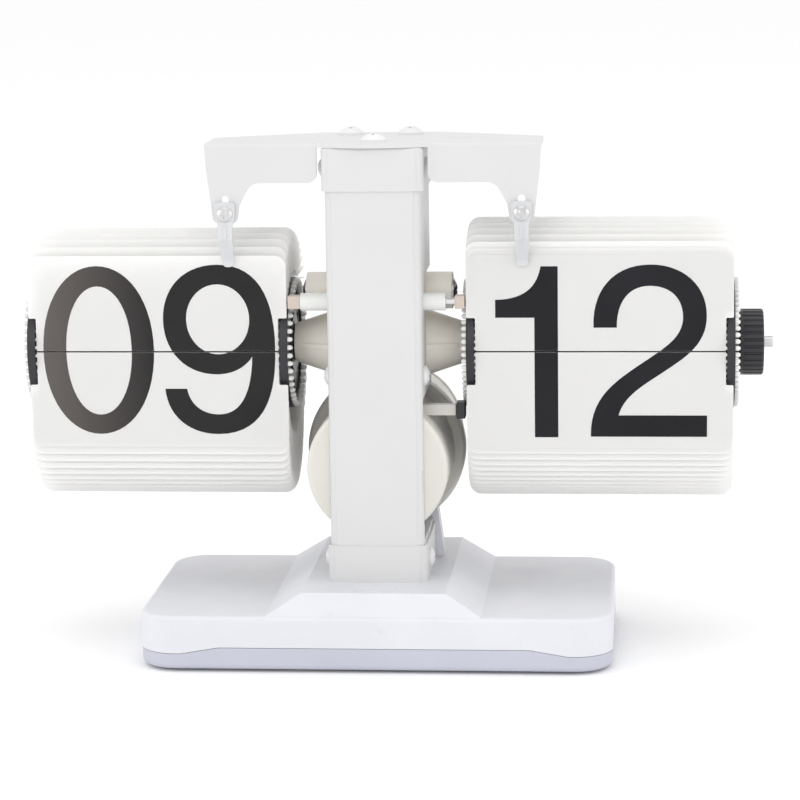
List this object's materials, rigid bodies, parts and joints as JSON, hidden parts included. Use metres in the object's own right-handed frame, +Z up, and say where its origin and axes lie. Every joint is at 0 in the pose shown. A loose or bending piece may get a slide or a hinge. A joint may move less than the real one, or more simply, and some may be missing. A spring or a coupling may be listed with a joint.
{
  "type": "flip number clock",
  "caption": "Desk flip clock: a column on a wide weighted base carries two drums of hinged number cards, hours left and minutes right, with a top bracket and a setting knob.",
  "frame": {"origin": "middle of the underside of the base, on the surface it stands on", "axes": "+X to the right seen from the front (towards the setting knob), +Y to the back, +Z up"},
  "size_m": [0.2099, 0.087, 0.1467],
  "materials": {
    "base_white": "satin moulded",
    "tray_grey": "fine texture",
    "pad_rubber": "matte",
    "ballast_iron": "as cast",
    "column_white": "satin powder coat",
    "bracket_white": "satin powder coat",
    "screw_white": "painted heads",
    "steel": "bright",
    "finger_clear": "translucent moulding",
    "case_cream": "moulded",
    "barrel_cream": "moulded",
    "tube_white": "moulded",
    "block_beige": "moulded",
    "black_plastic": "moulded",
    "bead_white": "moulded",
    "hub_grey": "moulded",
    "gear_cream": "moulded",
    "card_white": "printed sheet",
    "cell_sleeve": "plain sleeve",
    "contact_brass": "bright"
  },
  "bodies": {
    "frame": {"base_pad": "pad_rubber", "base_tray": "tray_grey", "base_shell": "base_white", "base_tab": "base_white", "base_ballast": "ballast_iron", "base_screws": "steel", "column": "column_white", "column_cap": "column_white", "column_collar": "column_white", "side_screws": "screw_white", "column_strap": "steel", "column_blocks": "case_cream", "rear_foot": "base_white", "top_bracket": "bracket_white", "bracket_screws": "screw_white", "case_left": "case_cream", "case_right": "case_cream", "case_plate": "steel", "case_neck": "case_cream", "case_screws": "steel", "motor_can": "steel", "spacer_tube": "tube_white", "tie_rod": "steel", "end_blocks": "block_beige", "stop_block": "black_plastic", "minute_card_top": "card_white", "minute_cards_up": "card_white", "minute_cards_down": "card_white", "hour_card_top": "card_white", "hour_cards_up": "card_white", "hour_cards_down": "card_white", "battery_barrel": "barrel_cream", "battery_cell": "cell_sleeve", "battery_spring": "steel"},
    "minute_drum": {"minute_shaft": "steel", "minute_hub": "hub_grey", "minute_wheels": "black_plastic", "minute_beads": "bead_white", "knob": "black_plastic", "minute_gear": "gear_cream"},
    "hour_drum": {"hour_shaft": "steel", "hour_hub": "hub_grey", "hour_wheels": "black_plastic", "hour_beads": "bead_white", "hour_gear": "gear_cream"},
    "layshaft": {"lay_gear": "gear_cream"},
    "motor_arbor": {"motor_pinion": "gear_cream"},
    "minute_card": {"minute_card_fallen": "card_white"},
    "hour_card": {"hour_card_fallen": "card_white"},
    "left_finger": {"finger_left": "finger_clear", "finger_screw_left": "steel"},
    "right_finger": {"finger_right": "finger_clear", "finger_screw_right": "steel"},
    "rear_cover": {"battery_cap": "barrel_cream", "battery_contact": "contact_brass"}
  },
  "joints": [
    {"name": "minute_drum_turn", "type": "hinge", "parent": "frame", "child": "minute_drum", "pos_m": [0, 0.004, 0.086], "axis": [1, 0, 0], "continuous": true},
    {"name": "hour_drum_turn", "type": "hinge", "parent": "frame", "child": "hour_drum", "pos_m": [0, 0.004, 0.086], "axis": [1, 0, 0], "continuous": true},
    {"name": "layshaft_turn", "type": "hinge", "parent": "frame", "child": "layshaft", "pos_m": [0, 0.01622, 0.09045], "axis": [1, 0, 0], "continuous": true},
    {"name": "motor_turn", "type": "hinge", "parent": "frame", "child": "motor_arbor", "pos_m": [0, 0.004, 0.099], "axis": [1, 0, 0], "continuous": true},
    {"name": "minute_card_flip", "type": "hinge", "parent": "frame", "child": "minute_card", "pos_m": [0, -0.01348, 0.08508], "axis": [1, 0, 0], "range_deg": [-160, 0]},
    {"name": "hour_card_flip", "type": "hinge", "parent": "frame", "child": "hour_card", "pos_m": [0, -0.01346, 0.08485], "axis": [1, 0, 0], "range_deg": [-160, 0]},
    {"name": "left_finger_set", "type": "slide", "parent": "frame", "child": "left_finger", "axis": [0, 0, 1], "range_m": [-0.0005, 0.004]},
    {"name": "right_finger_set", "type": "slide", "parent": "frame", "child": "right_finger", "axis": [0, 0, 1], "range_m": [-0.0005, 0.004]},
    {"name": "rear_cover_pull", "type": "slide", "parent": "frame", "child": "rear_cover", "axis": [0, 1, 0], "range_m": [0, 0.03]}
  ],
  "couplings": [
    {"joint": "hour_drum_turn", "follows": "minute_drum_turn", "ratio": 0.041667},
    {"joint": "layshaft_turn", "follows": "minute_drum_turn", "ratio": -0.25},
    {"joint": "motor_turn", "follows": "minute_drum_turn", "ratio": -4}
  ]
}
